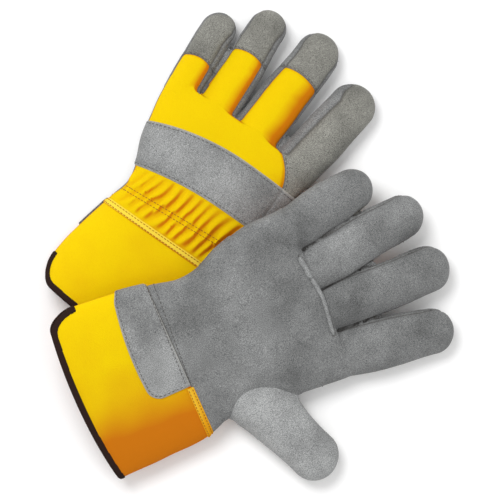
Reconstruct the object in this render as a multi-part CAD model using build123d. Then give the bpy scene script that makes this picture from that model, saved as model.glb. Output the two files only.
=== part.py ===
from build123d import *
import os
from collections import namedtuple
from math import cos, radians, sin

# A pair of leather-palm work gloves with safety cuffs, lying as a pair does on a bench: the left glove
# flat with its back up, and the right glove across its cuff and thumb, palm up.
# Millimetres, +Z up, the bench at Z = 0, the origin under the middle of the pair.
#
# Each glove is built in its own frame: x runs from the cuff's rim to the fingertips, y to the little
# finger's side, z up, and z = 0 is the plane of the side seams. Its leather palm faces +z on the right
# glove and -z on the left one.

# --- Materials, as thicknesses ---
LEATHER = 1.3            # split cowhide of the palm, thumb and fingers, and the cotton drill of the back
CANVAS = 1.8             # the stiff cuff's rubberised canvas, with its inner ply
LINING = 0.8             # cotton flannel behind the palm
SEAT = 0.3               # clearance between a layer and the one that it lies on, or the one sewn to it

SEAM_ANGLE = 0.9         # half the slit along a side seam, as an angle of the section

# --- Cuff ---
CUFF_LENGTH = 70.0       # rim to the seam with the hand
RIM_BOW = 5.0            # how far the middle of the rim bows out
RIM_CORNER_LENGTH = 20.0     # rounded corner of the rim on the little finger's side, along the glove
RIM_CORNER_WIDTH = 13.0      # and across it
BINDING = 0.8            # tape folded over the rim
BINDING_WIDTH = 5.0
BAND = 0.9               # folded band stitched over the cuff seam
BAND_WIDTH = 5.0
BAND_ON_CUFF = 3.5       # share of that width on the cuff's side of the seam
BAND_WRAP = 70.0         # how far it wraps round the thumb's side onto the palm, in degrees
PATCH = 1.1              # leather patch over the pulse
PATCH_LENGTH = 28.0
PATCH_SIDES = (-18.0, 50.0)  # across the glove
PATCH_CORNER = 9.0
ELASTIC = 1.0            # elastic across the inside of the wrist's back
ELASTIC_X = 91.0
ELASTIC_WIDTH = 6.0
ELASTIC_INSET = 15.0     # where it stops short of the side seams, in degrees

# --- Hand ---
WEB = 1.3                # leather between the roots of the fingers
LINING_MARGIN = 5.0      # lining's edges short of the cuff seam and of the web
LINING_INSET = 4.0       # and its sides short of the side seams, in degrees
STRAP = 1.1              # leather strap over the knuckles
STRAP_MARGIN = 18.0      # its edge short of the knuckle line, at the middle of the hand
STRAP_WIDTH = 38.0
STRAP_SAG = 13.0         # how far it curves back toward the cuff at the little finger's side
WELT = 1.0               # piping along the roots of the ring and middle fingers
WELT_WIDTH = 2.2
INDEX_PANEL_LENGTH = 30.0    # leather of the index finger's back, along the thumb's side of the hand
STEP = 9.0               # spacing of the sections that a layer is drawn through
STUB = 14.0              # how far a finger's tube is made behind the knuckle line before it is trimmed
SIDE_STRIP_ANGLE = 35.0  # half the angle that the strips between the fingers take of a finger's section
FINGER_HEIGHT = 22.8     # thickness of a stuffed finger
THUMB_STUB = 26.0        # how far the thumb's tube is made inside the hand before it is trimmed
THUMB_LENGTH = 62.0      # from the hand's side to the tip
CAP_LENGTH = {"little": 39.0, "ring": 39.0, "middle": 37.0}   # leather caps over the fabric fingertips

# --- Plan of each glove ---
# A station of the outline: x, y of the thumb's and the little finger's side, the height of the palm and
# of the back over the side seams, how square the section is, and how much thinner the back gets
# toward the thumb's side.
Station = namedtuple("Station", "x thumb_y little_y palm back square lean")
# A finger: y of its root on the knuckle line, its turn and drop in degrees, its length from the knuckle
# line, and its half widths at root, middle and tip.
Finger = namedtuple("Finger", "root_y yaw drop length root belly tip")
Thumb = namedtuple("Thumb", "x y yaw drop root belly tip height")
Glove = namedtuple("Glove", "name side knuckle outline fingers thumb")

RIGHT = Glove(
    name="right",
    side=1,
    knuckle=173.5,
    outline=[
        Station(0.0, -62.0, 63.5, 13.0, 10.5, 2.3, 0.0),
        Station(35.0, -61.5, 61.5, 13.0, 10.5, 2.4, 0.0),
        Station(70.0, -59.5, 56.0, 13.0, 10.5, 2.5, 0.0),
        Station(91.0, -52.5, 50.0, 13.0, 10.5, 2.6, 0.0),
        Station(108.0, -54.5, 53.0, 13.5, 11.0, 2.7, 0.0),
        Station(123.0, -56.5, 60.0, 14.0, 11.0, 2.8, 0.0),
        Station(146.0, -60.0, 65.5, 14.0, 11.0, 3.2, 0.0),
        Station(173.5, -62.0, 66.0, 13.3, 12.5, 4.0, 0.0),
    ],
    fingers={
        "little": Finger(49.3, 7.0, 13.0, 69.0, 14.6, 15.4, 14.4),
        "ring": Finger(18.6, 4.0, 7.0, 92.0, 14.4, 15.6, 15.4),
        "middle": Finger(-12.0, -3.0, 3.0, 94.5, 14.4, 16.4, 16.4),
        "index": Finger(-44.5, -9.5, -3.0, 80.5, 16.2, 16.6, 15.6),
    },
    thumb=Thumb(111.0, -56.0, -69.0, -12.0, 21.0, 18.2, 17.0, 23.0),
)
LEFT = Glove(
    name="left",
    side=-1,
    knuckle=162.5,
    outline=[
        Station(0.0, -66.0, 53.5, 11.2, 12.5, 2.3, 0.60),
        Station(30.0, -65.5, 52.0, 11.2, 12.5, 2.4, 0.60),
        Station(70.0, -63.0, 43.5, 11.2, 12.5, 2.5, 0.60),
        Station(90.0, -57.0, 39.0, 12.4, 12.5, 2.6, 0.60),
        Station(105.0, -56.0, 43.0, 13.0, 13.0, 2.7, 0.50),
        Station(120.0, -58.0, 49.5, 13.0, 13.5, 2.8, 0.30),
        Station(140.0, -62.5, 54.0, 13.0, 13.5, 3.2, 0.15),
        Station(162.5, -67.0, 57.5, 11.4, 12.5, 4.0, 0.0),
    ],
    fingers={
        "little": Finger(45.0, 4.0, 1.0, 59.0, 12.2, 12.8, 11.8),
        "ring": Finger(17.8, 2.0, 1.0, 81.0, 13.4, 14.0, 13.2),
        "middle": Finger(-15.2, -2.2, 1.0, 87.0, 15.8, 16.4, 15.4),
        "index": Finger(-50.4, -8.4, 1.0, 73.5, 16.0, 17.0, 16.6),
    },
    thumb=Thumb(104.0, -54.0, -100.0, 7.0, 20.0, 17.6, 16.0, 12.0),
)
LITTLE_TO_INDEX = ["little", "ring", "middle", "index"]

# --- How the pair lies ---
LEFT_TURN = 55.0         # direction of each glove's x on the bench, from +X
RIGHT_TURN = 24.0
LEFT_RIM = (-102.7, -50.4)       # middle of each rim on the bench
RIGHT_RIM = (-113.1, -105.6)
RIGHT_ROLL = 14.0        # the right glove leans on the left one, little finger's side up
RIGHT_PITCH = 2.0        # and its fingers hang to the bench
RIGHT_LIFT = 32.0        # height of the middle of its rim
LEFT_LIFT = 12.6         # height of the left side seams, where the left palm lies pressed flat


# --- Outline and sections of a hand ---
def profile(glove, x):
    """The outline at x: a smooth curve through the glove's stations."""
    knots = glove.outline
    i = sum(1 for knot in knots[1:-1] if knot.x <= x)
    a, b = knots[i], knots[i + 1]
    before, after = knots[max(i - 1, 0)], knots[min(i + 2, len(knots) - 1)]
    t = (x - a.x) / (b.x - a.x)
    values = []
    for field in range(1, len(a)):
        slope_a = (b[field] - before[field]) / (b.x - before.x) * (b.x - a.x)
        slope_b = (after[field] - a[field]) / (after.x - a.x) * (b.x - a.x)
        start = a[field] * (2 * t**3 - 3 * t**2 + 1) + slope_a * (t**3 - 2 * t**2 + t)
        end = b[field] * (3 * t**2 - 2 * t**3) + slope_b * (t**3 - t**2)
        values.append(start + end)
    return Station(x, *values)


def section_point(glove, station, offset, angle):
    """A point of a section, offset outward. Angle 0 is the little finger's side and 90 is up."""
    centre = (station.little_y + station.thumb_y) / 2
    half_width = (station.little_y - station.thumb_y) / 2 + offset
    c, s = cos(radians(angle)), sin(radians(angle))
    n = station.square
    k = (abs(c) ** n + abs(s) ** n) ** (-1 / n)
    if s * glove.side > 0:
        height = station.palm + offset
    else:
        height = station.back * (1 + station.lean * k * c) + offset
    return Vector(station.x, centre + half_width * k * c, height * k * s)


def section_curve(glove, station, offset, first, last):
    """The section's outline from one angle to another."""
    count = max(5, round(abs(last - first) / 22.5) + 1)
    step = (last - first) / (count - 1)
    points = [section_point(glove, station, offset, first + i * step) for i in range(count)]
    nudge = step / 50
    start = section_point(glove, station, offset, first + nudge) - points[0]
    end = points[-1] - section_point(glove, station, offset, last - nudge)
    return Spline(*points, tangents=[start.normalized(), end.normalized()], tangent_scalars=(1, 1))


def stations(glove, x_first, x_last):
    """Sections at both ends and at every step between them, at the same places for every layer."""
    steps = [STEP * i for i in range(round(2 * glove.knuckle / STEP)) if x_first < STEP * i < x_last]
    inside = [x for x in steps if min(x - x_first, x_last - x) > STEP / 6]
    return [profile(glove, x) for x in (x_first, *inside, x_last)]


def layer(glove, x_first, x_last, inner, outer, first, last):
    """A sheet of the hand or cuff: between two offsets, over a length and a range of angles."""
    faces = []
    for station in stations(glove, x_first, x_last):
        out = section_curve(glove, station, outer, first, last)
        back = section_curve(glove, station, inner, last, first)
        faces.append(make_face([out, Line(out @ 1, back @ 0), back, Line(back @ 1, out @ 0)]))
    return loft(faces)


def section_face(glove, station, offset):
    upper = section_curve(glove, station, offset, 0, 180)
    return make_face([upper, section_curve(glove, station, offset, 180, 360)])


def hand_block(glove, offset):
    """The hand without its fingers as one solid, to trim the thumb on."""
    return loft([section_face(glove, s, offset) for s in stations(glove, CUFF_LENGTH, glove.knuckle)])


def palm_half(glove, inset=SEAM_ANGLE):
    """The angles that the palm takes of a section, short of the side seams by an inset."""
    return (inset, 180 - inset) if glove.side > 0 else (180 + inset, 360 - inset)


def back_half(glove, inset=SEAM_ANGLE):
    return (180 + inset, 360 - inset) if glove.side > 0 else (inset, 180 - inset)


def join(first, *others):
    """One solid from pieces that touch."""
    return first.fuse(*others)


# --- Plan cutters ---
def prism(*edges):
    """A tall block over a closed outline in plan, to cut a layer with."""
    outline = make_face(Wire.combine([e for edge in edges for e in edge.edges()]))
    return extrude(outline, amount=100, both=True)


def slab(low=None, high=None, size=500):
    """Everything between two levels of z. Without one of them it has no end."""
    low = -size if low is None else low
    high = size if high is None else high
    return Pos(0, 0, (low + high) / 2) * Box(size, size, high - low)


def beyond(x, size=400):
    """Everything past a plane across the glove."""
    return Pos(x + size / 2, 0, 0) * Box(size, size, size)


# --- Tubes: fingers and thumbs ---
def tube_side(tube, length, stub, offset):
    """One side of a tube's long section, from its open end to its tip."""
    start = (-stub, tube.root + offset)
    middle = ((length - tube.tip) / 2, tube.belly + offset)
    side = ThreePointArc(start, middle, (length - tube.tip, tube.tip + offset))
    return side, RadiusArc(side @ 1, (length + offset, 0), tube.tip + offset)


def tube_wall(tube, length, stub, low=None, high=None):
    """Half of a tube wall's long section, as a face over its axis, or the part of it from low to high."""
    side, dome = tube_side(tube, length, stub, 0)
    side_in, dome_in = tube_side(tube, length, stub, -LEATHER)
    ends = [Line(dome @ 1, dome_in @ 1), Line(side_in @ 0, side @ 0)]
    wall = make_face([side, dome, side_in, dome_in, *ends])
    low = -stub - 1 if low is None else low
    high = length + 1 if high is None else high
    width = 3 * tube.belly
    return wall & make_face(Polyline((low, 0), (high, 0), (high, width), (low, width), close=True))


def sector(wall, first, last, squeeze):
    """A wall's section turned about the tube's axis from one angle to another, 0 at +y and 90 up."""
    return scale(revolve(wall.rotate(Axis.X, first), Axis.X, last - first), by=(1, 1, squeeze))


def finger_place(glove, finger):
    return Pos(glove.knuckle, finger.root_y, 0) * Rot(0, 0, finger.yaw) * Rot(0, finger.drop, 0)


def finger_part(glove, name, first, last, low=None, high=None, gap=0.0):
    """A finger's leather or fabric from one angle to another, past the knuckle line and a gap."""
    finger = glove.fingers[name]
    wall = tube_wall(finger, finger.length, STUB, low, high)
    first, last = first + SEAM_ANGLE, last - SEAM_ANGLE
    part = finger_place(glove, finger) * sector(wall, first, last, FINGER_HEIGHT / 2 / finger.belly)
    return part & beyond(glove.knuckle + gap) if low is None else part


def front_angles(glove, name):
    """The angles of a finger's palm side. A side that faces another finger leaves room for a strip."""
    first = 0 if name == "little" else SIDE_STRIP_ANGLE
    last = 180 if name == "index" else 180 - SIDE_STRIP_ANGLE
    return (first, last) if glove.side > 0 else (-last, -first)


def rear_angles(glove, name):
    first, last = front_angles(glove, name)
    return -last, -first


def finger_holes(glove):
    holes = []
    for finger in glove.fingers.values():
        hole = Rot(0, 90, 0) * Cylinder(finger.root - LEATHER - 2 * SEAT, 2 * STUB)
        squeeze = FINGER_HEIGHT / 2 / finger.belly
        holes.append(finger_place(glove, finger) * scale(hole, by=(1, 1, squeeze)))
    return holes


def web(glove, first, last):
    """The leather between the roots of the fingers, as a plate that closes a half of the hand."""
    station = profile(glove, glove.knuckle - WEB)
    rim = section_curve(glove, station, 0, first, last)
    inside = [section_point(glove, station, -LEATHER, angle) for angle in (last, first)]
    face = make_face([rim, Polyline(rim @ 1, *inside, rim @ 0)])
    return extrude(face, amount=WEB, dir=(1, 0, 0)) - finger_holes(glove) - strip_blocks(glove, grow=SEAT)


def strip_web(glove, block):
    """The part of that leather that belongs to a strip between two fingers."""
    face = section_face(glove, profile(glove, glove.knuckle - WEB), -LEATHER)
    return (extrude(face, amount=WEB, dir=(1, 0, 0)) & block) - finger_holes(glove)


def strip_height(finger):
    """Half the height of the strips between the fingers, at a finger's root."""
    return finger.root * sin(radians(SIDE_STRIP_ANGLE)) * FINGER_HEIGHT / 2 / finger.belly


def strip_blocks(glove, grow=0.0):
    """The blocks that hold the strips between the fingers where they cross the web."""
    blocks = []
    for a, b in zip(LITTLE_TO_INDEX, LITTLE_TO_INDEX[1:]):
        high, low = glove.fingers[a].root_y, glove.fingers[b].root_y
        height = 2 * strip_height(glove.fingers[b]) + 2 * grow
        blocks.append(Pos(glove.knuckle, (high + low) / 2, 0) * Box(4 * WEB, high - low, height))
    return blocks


# --- The pieces of a glove ---
def thumb_tube(glove):
    """The thumb's front and rear halves, trimmed on the hand, and its inside and outside as blocks."""
    thumb = glove.thumb
    place = Pos(thumb.x, thumb.y, 0) * Rot(0, 0, thumb.yaw) * Rot(0, thumb.drop, 0)
    squeeze = thumb.height / 2 / thumb.belly
    wall = tube_wall(thumb, THUMB_LENGTH, THUMB_STUB)
    up, down = (SEAM_ANGLE, 180 - SEAM_ANGLE), (180 + SEAM_ANGLE, 360 - SEAM_ANGLE)
    front, rear = (up, down) if glove.side > 0 else (down, up)
    block = hand_block(glove, SEAT)
    halves = [place * sector(wall, *angles, squeeze) - block for angles in (front, rear)]
    blocks = []
    for offset in (-LEATHER, SEAT):
        side, dome = tube_side(thumb, THUMB_LENGTH, THUMB_STUB, offset)
        end, tip = (-THUMB_STUB, 0), dome @ 1
        core = make_face([side, dome, Line(tip, end), Line(end, side @ 0)])
        blocks.append(place * sector(core, 0, 360, squeeze))
    return halves, blocks


def index_panel(glove, grow=0.0):
    """Plan of the leather on the hand's back behind the index finger."""
    index, middle = glove.fingers["index"], glove.fingers["middle"]
    start = glove.knuckle - INDEX_PANEL_LENGTH - grow
    corner = (glove.knuckle + 5, (index.root_y + index.root + middle.root_y - middle.root) / 2 + grow)
    outside = (start, -90)
    seam = (start + INDEX_PANEL_LENGTH / 2, index.root_y - index.root / 2 + grow)
    far = (glove.knuckle + 5, -90)
    return prism(ThreePointArc(corner, seam, outside), Line(outside, far), Line(far, corner))


def hand_pieces(glove):
    """Palm, back, index finger's back, lining, strap and the strips between the fingers."""
    pieces = {}
    end = glove.knuckle - WEB
    (thumb_front, thumb_rear), (hole, thumb_block) = thumb_tube(glove)

    palm = layer(glove, CUFF_LENGTH, end, -LEATHER, 0, *palm_half(glove)) - hole
    fronts = [finger_part(glove, name, *front_angles(glove, name)) for name in ("little", "index")]
    pieces["palm"] = join(palm, web(glove, *palm_half(glove)), *fronts)
    for name in ("ring", "middle"):
        pieces[f"{name}_front"] = finger_part(glove, name, *front_angles(glove, name), gap=SEAT)

    back = layer(glove, CUFF_LENGTH, end, -LEATHER, 0, *back_half(glove)) - hole
    back = join(back, web(glove, *back_half(glove)))
    index_rear = finger_part(glove, "index", *rear_angles(glove, "index"))
    pieces["index_back"] = join(back & index_panel(glove), index_rear)
    rears = []
    for name, cap in CAP_LENGTH.items():
        finger, angles = glove.fingers[name], rear_angles(glove, name)
        start = finger.length - cap
        rears.append(finger_part(glove, name, *angles, high=start))
        pieces[f"{name}_tip_cap"] = finger_part(glove, name, *angles, low=start + SEAT)
    pieces["back_panel"] = join(back - index_panel(glove, grow=SEAT), *rears)

    for a, b, block in zip(LITTLE_TO_INDEX, LITTLE_TO_INDEX[1:], strip_blocks(glove)):
        near = finger_part(glove, a, 180 - SIDE_STRIP_ANGLE, 180 + SIDE_STRIP_ANGLE)
        far = finger_part(glove, b, -SIDE_STRIP_ANGLE, SIDE_STRIP_ANGLE)
        pieces[f"{a}_{b}_side_strip"] = join(strip_web(glove, block), near, far)

    pieces["thumb_front"], pieces["thumb_back"] = thumb_front, thumb_rear
    outer = -LEATHER - 2 * SEAT
    lining_angles = palm_half(glove, LINING_INSET)
    lining_ends = (CUFF_LENGTH + LINING_MARGIN, end - LINING_MARGIN)
    pieces["palm_lining"] = layer(glove, *lining_ends, outer - LINING, outer, *lining_angles) - hole
    pieces["knuckle_strap"] = strap(glove) - thumb_block
    return pieces


def strap(glove):
    """The curved leather strap over the knuckles."""
    def edge(x):
        thumb_end, little_end = (x - STRAP_SAG / 3, -90), (x - 2 * STRAP_SAG, 90)
        return ThreePointArc(thumb_end, (x, 0), little_end)

    near = edge(glove.knuckle - STRAP_MARGIN - STRAP_WIDTH)
    far = edge(glove.knuckle - STRAP_MARGIN)
    window = prism(near, far, Line(near @ 0, far @ 0), Line(near @ 1, far @ 1))
    ends = (glove.knuckle - STRAP_MARGIN - STRAP_WIDTH - 2 * STRAP_SAG, glove.knuckle - STRAP_MARGIN + 2)
    return layer(glove, *ends, SEAT, SEAT + STRAP, *back_half(glove)) & window


def welt(glove):
    """The piping along the palm's edge at the roots of the ring and middle fingers."""
    ring, middle = glove.fingers["ring"], glove.fingers["middle"]
    low, high = middle.root_y - middle.root, ring.root_y + ring.root
    x = glove.knuckle - WELT_WIDTH
    window = Pos(x, (low + high) / 2, 0) * Box(4 * WELT_WIDTH, high - low, 100)
    return layer(glove, x, glove.knuckle, SEAT, SEAT + WELT, *palm_half(glove, LINING_INSET)) & window


def rim_window(glove, inset):
    """Plan of the cuff inside its rim: bowed, with a rounded corner on the little finger's side."""
    rim = glove.outline[0]
    thumb_end = (inset, rim.thumb_y - 10)
    bow = (inset - RIM_BOW, (rim.thumb_y + rim.little_y) / 2)
    corner = (inset, rim.little_y - RIM_CORNER_WIDTH)
    side = (inset + RIM_CORNER_LENGTH, rim.little_y + 1)
    shoulder = (inset + RIM_CORNER_LENGTH / 4, rim.little_y - RIM_CORNER_WIDTH / 3)
    out, far = (inset + RIM_CORNER_LENGTH, rim.little_y + 30), (CUFF_LENGTH + 30, rim.little_y + 30)
    back = (CUFF_LENGTH + 30, rim.thumb_y - 10)
    return prism(
        ThreePointArc(thumb_end, bow, corner), ThreePointArc(corner, shoulder, side),
        Polyline(side, out, far, back, thumb_end),
    )


def cuff_pieces(glove):
    """The cuff, the tape on its rim, the pulse patch, the seam band and the wrist's elastic."""
    pieces = {}
    start = -RIM_BOW - 3 * BINDING
    around = (SEAM_ANGLE, 360 - SEAM_ANGLE)
    cuff = layer(glove, start, CUFF_LENGTH - SEAT, -CANVAS, 0, *around)
    pieces["cuff"] = cuff & rim_window(glove, 0)
    reach = RIM_CORNER_LENGTH + BINDING_WIDTH + 2
    over, under = SEAT + BINDING, -CANVAS - SEAT - BINDING
    tape = layer(glove, start, reach, under, over, *around)
    tape = (tape & rim_window(glove, -over)) - rim_window(glove, BINDING_WIDTH)
    fold = layer(glove, start, reach + STEP, under + BINDING, SEAT, SEAM_ANGLE / 2, 360 - SEAM_ANGLE / 2)
    pieces["cuff_binding"] = tape - (fold & rim_window(glove, -SEAT))

    low, high = PATCH_SIDES
    near = CUFF_LENGTH - PATCH_LENGTH
    plan = RectangleRounded(2 * PATCH_LENGTH, high - low, PATCH_CORNER)
    plan = Pos(CUFF_LENGTH, (low + high) / 2, 0) * plan
    cover = layer(glove, near - 2, CUFF_LENGTH, SEAT, SEAT + PATCH, *palm_half(glove))
    pieces["pulse_patch"] = cover & extrude(plan, amount=100, both=True)

    first, last = back_half(glove)
    first, last = (first - BAND_WRAP, last) if glove.side > 0 else (first, last + BAND_WRAP)
    seam = CUFF_LENGTH - BAND_ON_CUFF + SEAT
    under = 2 * SEAT
    pieces["cuff_seam_band"] = layer(glove, seam, seam + BAND_WIDTH, under, under + BAND, first, last)

    ends = (ELASTIC_X - ELASTIC_WIDTH / 2, ELASTIC_X + ELASTIC_WIDTH / 2)
    top = -LEATHER - SEAT
    inset = back_half(glove, ELASTIC_INSET)
    pieces["wrist_elastic"] = layer(glove, *ends, top - ELASTIC, top, *inset)
    return pieces


def glove_pieces(glove):
    return {**cuff_pieces(glove), **hand_pieces(glove), "finger_root_welt": welt(glove)}


def write_glove(glove, place, flat=None):
    """Lay a glove in its place and write a file for each of its pieces."""
    for name, piece in glove_pieces(glove).items():
        if flat is not None and piece.bounding_box().min.Z < flat:
            piece = piece & slab(low=flat)
        export_step(place * piece, f"parts/{glove.name}_{name}.step")


os.makedirs("parts", exist_ok=True)
write_glove(LEFT, Pos(*LEFT_RIM, LEFT_LIFT) * Rot(0, 0, LEFT_TURN), flat=-LEFT_LIFT)
lying = Pos(*RIGHT_RIM, RIGHT_LIFT) * Rot(0, 0, RIGHT_TURN) * Rot(0, RIGHT_PITCH, 0) * Rot(RIGHT_ROLL, 0, 0)
write_glove(RIGHT, lying)
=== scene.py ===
import math
from functools import partial
import bpy
import numpy as np
from mathutils import Matrix


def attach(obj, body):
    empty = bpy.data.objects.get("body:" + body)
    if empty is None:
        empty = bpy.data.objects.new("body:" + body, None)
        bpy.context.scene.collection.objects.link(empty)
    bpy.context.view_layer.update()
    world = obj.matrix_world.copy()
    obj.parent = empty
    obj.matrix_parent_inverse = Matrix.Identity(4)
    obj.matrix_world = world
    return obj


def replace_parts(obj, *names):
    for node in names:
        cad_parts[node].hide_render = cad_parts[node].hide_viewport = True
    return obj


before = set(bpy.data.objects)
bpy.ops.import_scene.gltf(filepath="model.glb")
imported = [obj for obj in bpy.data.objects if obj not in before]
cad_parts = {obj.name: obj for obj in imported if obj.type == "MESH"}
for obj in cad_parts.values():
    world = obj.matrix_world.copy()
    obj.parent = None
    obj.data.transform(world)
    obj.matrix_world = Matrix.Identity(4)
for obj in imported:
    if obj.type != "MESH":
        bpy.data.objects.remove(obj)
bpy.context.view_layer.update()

# The looks of a pair of leather-palm work gloves with safety cuffs.
#
# Each glove is modelled in its own frame, in millimetres, and then laid in its place in the row frame:
# x runs from the cuff's rim to the fingertips, y to the little finger's side and z up, with the side
# seams at z = 0. A glove starts as one smooth skin. Seam lines are zero lines of fields over the skin.
# They cut it into its pieces, and the stitches follow them.

MM = 0.001
SKIN_VOXEL = 1.15
BLEND = 3.0              # roundness of the skin where fingers and thumb join the hand
BENCH_GAP = 0.05         # the lowest that any point lies over the bench
HAND_POINTS = 96         # points round a section of the hand, and of a finger or the thumb
TUBE_POINTS = 40
AWAY = 50.0              # what a field says where its seam doesn't run
JUMP = 8.0               # a triangle with a value past this lies over the end of a seam

# --- Driving sizes, those of the CAD or within a few mm of them ---
CUFF_LENGTH = 70.0
RIM_BOW = 5.0
RIM_CORNER = (20.0, 13.0)
BINDING_WIDTH = 3.6
BINDING = 0.9
BAND = 0.8
BAND_SPAN = (66.5, 71.5)
PATCH_X = (40.3, 70.0)
PATCH_THUMB_Y = -18.5
PATCH_CORNER = 9.0
LEATHER = 1.2
CANVAS = 1.6
DRILL = 0.7
STRAP = 1.1
OVER = 0.15              # gap under a layer that is sewn on top
STRAP_MARGIN = 18.0
STRAP_WIDTH = 38.0
FINGER_HEIGHT = 22.8
FINGER_STUB = 6.0        # how far a finger's tube reaches into the hand
CAP_LENGTH = {"little": 39.0, "ring": 39.0, "middle": 37.0}
ELASTIC_BACK = 76.5      # the elastic's line behind the knuckles, and its slant across the hand
ELASTIC_SLANT = 0.075
ELASTIC_ROW = 1.6        # each row of stitches off that line
LITTLE_TO_INDEX = ["little", "ring", "middle", "index"]
PALM_WRAP = 3.2          # how far the palm's leather wraps round the little finger's side of the hand
STRIP_FRONT = 3.1        # seams of the strips between the fingers, in front of a finger's middle plane
# and behind it, on the side toward the little finger and on the side toward the thumb
STRIP_REAR = {"little": (0.0, 8.0), "ring": (4.5, 7.5), "middle": (7.0, 4.5), "index": (9.3, 0.0)}

# x, thumb side y, little finger side y, palm height, back height, squareness, lean toward the thumb
RIGHT = {
    "name": "right", "side": 1, "knuckle": 173.5, "body": "right_glove",
    "outline": np.array([
        (-12.0, -62.0, 63.7, 13.0, 10.5, 2.3, 0.0),
        (0.0, -62.0, 63.5, 13.0, 10.5, 2.3, 0.0),
        (35.0, -61.5, 61.5, 13.0, 10.5, 2.4, 0.0),
        (70.0, -59.5, 56.0, 13.0, 10.5, 2.5, 0.0),
        (91.0, -52.5, 50.0, 13.0, 10.5, 2.6, 0.0),
        (108.0, -54.5, 53.0, 13.5, 11.0, 2.7, 0.0),
        (123.0, -56.5, 60.0, 14.0, 11.0, 2.8, 0.0),
        (146.0, -60.0, 65.5, 14.0, 11.0, 3.0, 0.0),
        (173.5, -62.0, 66.0, 12.6, 11.5, 3.2, 0.0),
        (185.0, -62.5, 67.0, 9.0, 9.0, 2.4, 0.0),
    ]),
    # root y, turn, drop, length, and the half widths at root, middle and tip
    "fingers": {
        "little": (49.3, 7.0, 13.0, 69.0, 15.2, 16.6, 15.0),
        "ring": (18.6, 4.0, 7.0, 92.0, 15.2, 16.8, 16.0),
        "middle": (-12.0, -3.0, 3.0, 94.5, 15.2, 17.2, 16.8),
        "index": (-44.8, -10.0, -3.0, 80.5, 17.2, 18.2, 16.8),
    },
    # x, y, turn, drop, length, half widths, thickness, and how far it reaches into the hand
    "thumb": (111.0, -56.0, -69.0, -12.0, 66.5, 22.6, 19.0, 18.0, 23.0, 20.0),
    "place": (-113.1, -105.6, 32.0, 24.0, 2.0, 14.0),
}
LEFT = {
    "name": "left", "side": -1, "knuckle": 162.5, "body": "left_glove",
    "outline": np.array([
        (-12.0, -66.0, 54.0, 11.2, 12.5, 2.3, 0.60),
        (0.0, -66.0, 53.5, 11.2, 12.5, 2.3, 0.60),
        (30.0, -65.5, 52.0, 11.2, 12.5, 2.4, 0.60),
        (70.0, -63.0, 43.5, 11.2, 12.5, 2.5, 0.60),
        (90.0, -57.0, 39.0, 12.4, 12.5, 2.6, 0.60),
        (105.0, -56.0, 43.0, 12.4, 13.0, 2.7, 0.50),
        (120.0, -58.0, 49.5, 12.4, 13.5, 2.8, 0.30),
        (140.0, -62.5, 54.0, 12.4, 13.5, 3.0, 0.15),
        (162.5, -67.0, 57.5, 11.4, 12.5, 3.2, 0.0),
        (174.0, -69.0, 59.0, 9.0, 9.0, 2.4, 0.0),
    ]),
    "fingers": {
        "little": (44.6, 4.0, 1.0, 59.0, 12.9, 12.8, 12.0),
        "ring": (17.8, 2.0, 1.0, 81.0, 14.8, 14.2, 13.6),
        "middle": (-15.2, -2.2, 1.0, 87.0, 17.4, 16.6, 15.8),
        "index": (-50.4, -8.4, 1.0, 73.5, 17.4, 17.2, 16.8),
    },
    "thumb": (104.0, -54.0, -100.0, 7.0, 62.0, 20.0, 17.6, 16.0, 12.0, 0.0),
    "place": (-102.7, -50.4, 12.6, 55.0, 0.0, 0.0),
}


# --- Fields: signed distances in a glove's frame, negative inside ---
def smooth_through(x, knots, values):
    """A smooth curve through knots, for an array of x."""
    slopes = np.gradient(values, knots)
    i = np.clip(np.searchsorted(knots, x) - 1, 0, len(knots) - 2)
    width = knots[i + 1] - knots[i]
    t = np.clip((x - knots[i]) / width, 0, 1)
    start = values[i] * (2 * t**3 - 3 * t**2 + 1) + slopes[i] * width * (t**3 - 2 * t**2 + t)
    return start + values[i + 1] * (3 * t**2 - 2 * t**3) + slopes[i + 1] * width * (t**3 - t**2)


def hand_field(glove, p):
    """The hand and cuff without fingers and thumb: a squarish section that changes along x."""
    x, y, z = p.T
    knots = glove["outline"][:, 0]
    columns = [smooth_through(x, knots, glove["outline"][:, k]) for k in range(1, 7)]
    thumb_y, little_y, palm, back, square, lean = columns
    across = (y - (little_y + thumb_y) / 2) / ((little_y - thumb_y) / 2)
    on_palm = z * glove["side"] > 0
    height = np.where(on_palm, palm, back * (1 + lean * np.clip(across, -1, 1)))
    level = (np.abs(across) ** square + np.abs(z / height) ** square) ** (1 / square) + 1e-6
    reach = np.hypot(y - (little_y + thumb_y) / 2, z)
    side = reach * (1 - 1 / level)
    return np.maximum(side, x - glove["knuckle"] - 3)


def turned(degrees, axis):
    return np.array(Matrix.Rotation(math.radians(degrees), 3, axis))


def tube_frame(origin, yaw, drop, p):
    """Points in a finger's or thumb's own frame."""
    return (p - np.array(origin)) @ (turned(yaw, "Z") @ turned(drop, "Y"))


def tube_field(q, length, root, belly, tip, squeeze, stub=FINGER_STUB):
    """A tapered tube along x with a round end, pressed flatter."""
    x, y, z = q.T
    t = np.clip(x / (length - tip), -0.05, 1)
    half = root * (1 - t) * (1 - 2 * t) + 4 * belly * t * (1 - t) + tip * t * (2 * t - 1)
    ring = np.hypot(y, z / squeeze)
    along = np.maximum(x - (length - tip), 0)
    d = np.where(x > length - tip, np.hypot(ring, along) - tip, ring - half)
    return np.maximum(d, -stub - x) * (0.5 + 0.5 * squeeze)


def finger_coords(glove, name, p):
    """Points in a finger's own frame, with x from the knuckle line to the tip."""
    root_y, yaw, drop = glove["fingers"][name][:3]
    return tube_frame((glove["knuckle"], root_y, 0), yaw, drop, p)


def finger_field(glove, name, p):
    _, _, _, length, root, belly, tip = glove["fingers"][name]
    return tube_field(finger_coords(glove, name, p), length, root, belly, tip, FINGER_HEIGHT / 2 / belly)


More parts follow.
